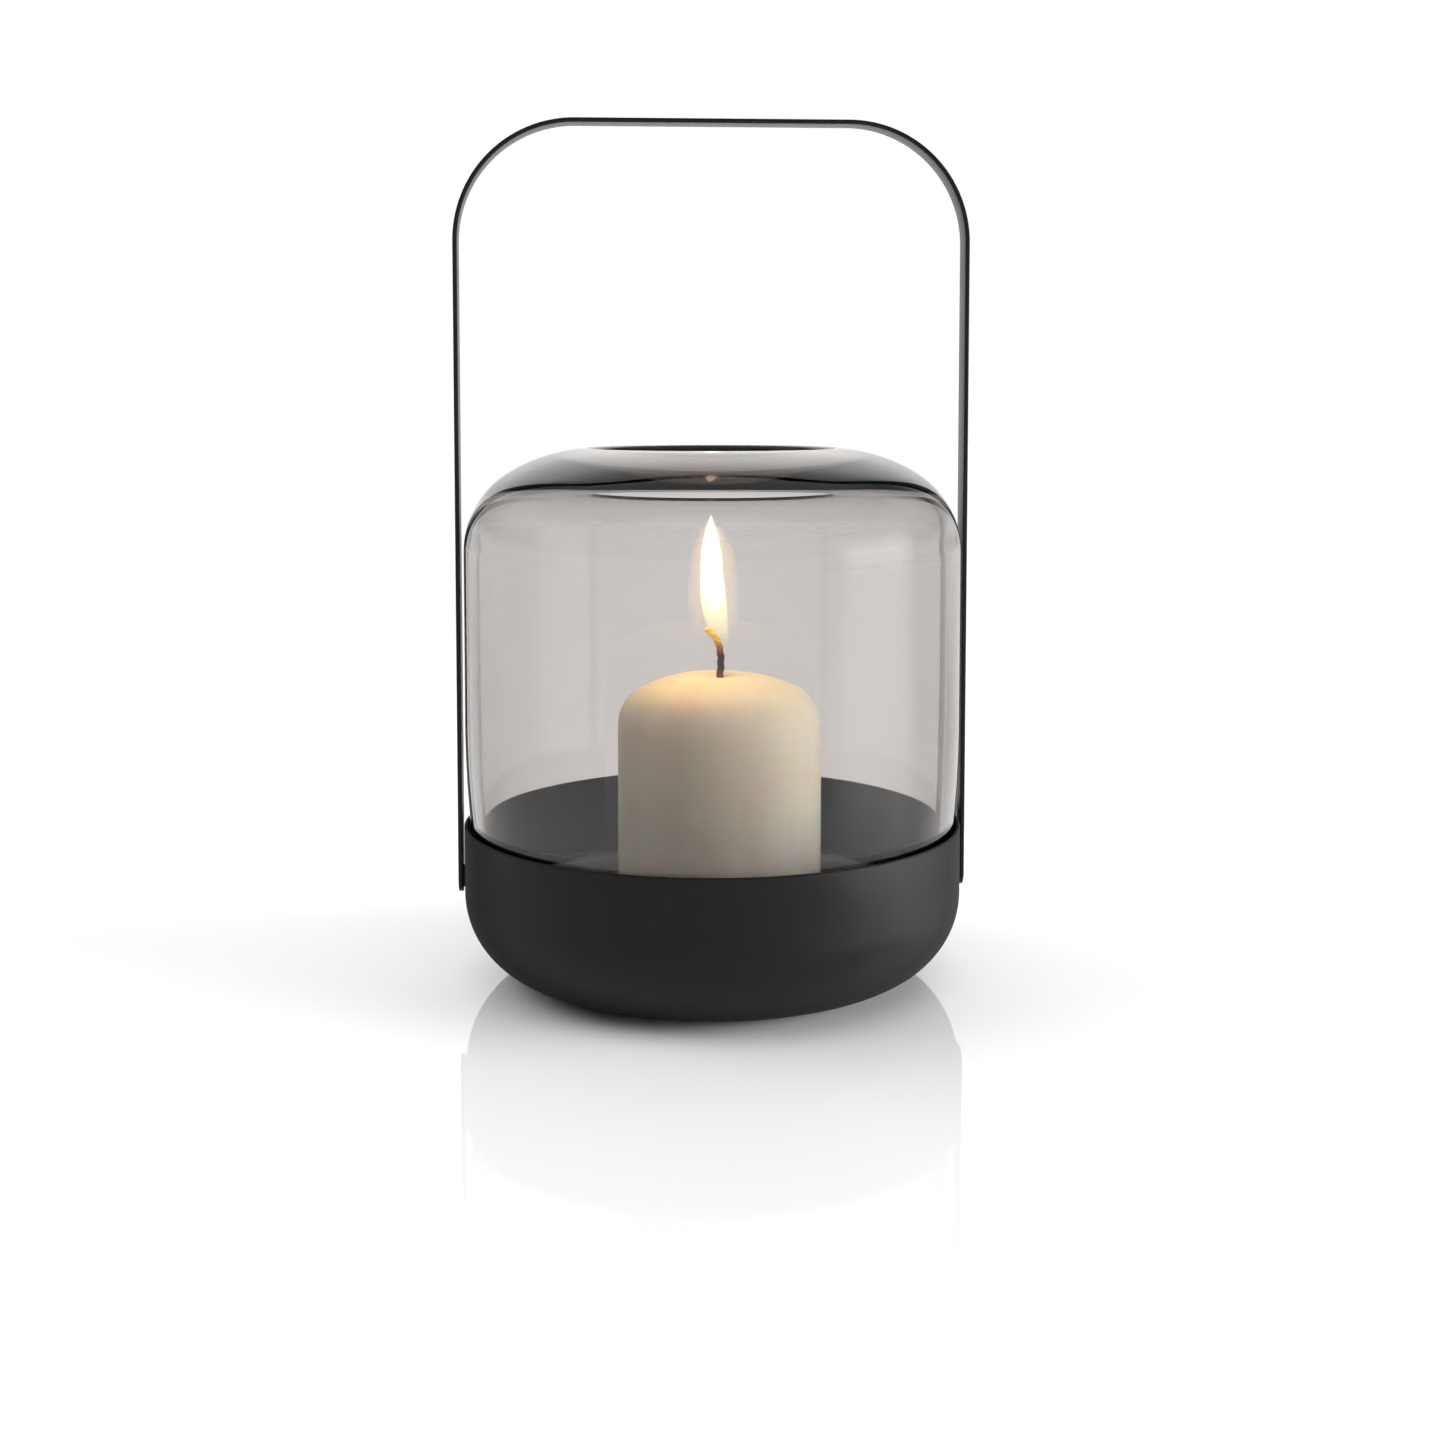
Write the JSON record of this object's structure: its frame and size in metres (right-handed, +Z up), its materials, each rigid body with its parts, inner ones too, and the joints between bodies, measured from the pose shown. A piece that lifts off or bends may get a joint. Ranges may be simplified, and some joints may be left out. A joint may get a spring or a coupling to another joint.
{
  "type": "candle lantern",
  "caption": "Candle lantern: black steel bowl, smoke-grey glass cylinder with an open top, swinging flat strap handle and a pillar candle.",
  "frame": {"origin": "centre of the resting face under the bowl", "axes": "+Z up; X along the handle's hinge axis, so the upright handle stands in the XZ plane; +Y towards the back"},
  "size_m": [0.1742, 0.17, 0.291],
  "materials": {
    "black_coat": "fine matte powder coat",
    "smoke_glass": "clear smoke-grey blown glass",
    "clear_silicone": "translucent satin",
    "black_silicone": "matte",
    "rivet_steel": "satin black",
    "ivory_wax": "satin paraffin wax",
    "burnt_cotton": "charred braided cotton",
    "tinned_steel": "thin tinned sheet"
  },
  "bodies": {
    "root": {"bowl": "black_coat", "base_pad": "black_silicone", "rivet_left": "rivet_steel", "rivet_right": "rivet_steel", "spacer_washer_left": "black_silicone", "spacer_washer_right": "black_silicone", "backing_washer_left": "rivet_steel", "backing_washer_right": "rivet_steel"},
    "handle": {"handle": "black_coat"},
    "glass": {"glass": "smoke_glass", "glass_seat_ring": "clear_silicone"},
    "candle": {"candle": "ivory_wax", "wick": "burnt_cotton", "wick_tab": "tinned_steel"}
  },
  "joints": [
    {"name": "handle_swing", "type": "hinge", "parent": "root", "child": "handle", "pos_m": [0, 0, 0.034], "axis": [1, 0, 0], "range_deg": [-97, 97]},
    {"name": "glass_lift", "type": "slide", "parent": "root", "child": "glass", "axis": [0, 0, 1], "range_m": [0, 0.095]},
    {"name": "candle_lift", "type": "slide", "parent": "root", "child": "candle", "axis": [0, 0, 1], "range_m": [0, 0.12]}
  ]
}
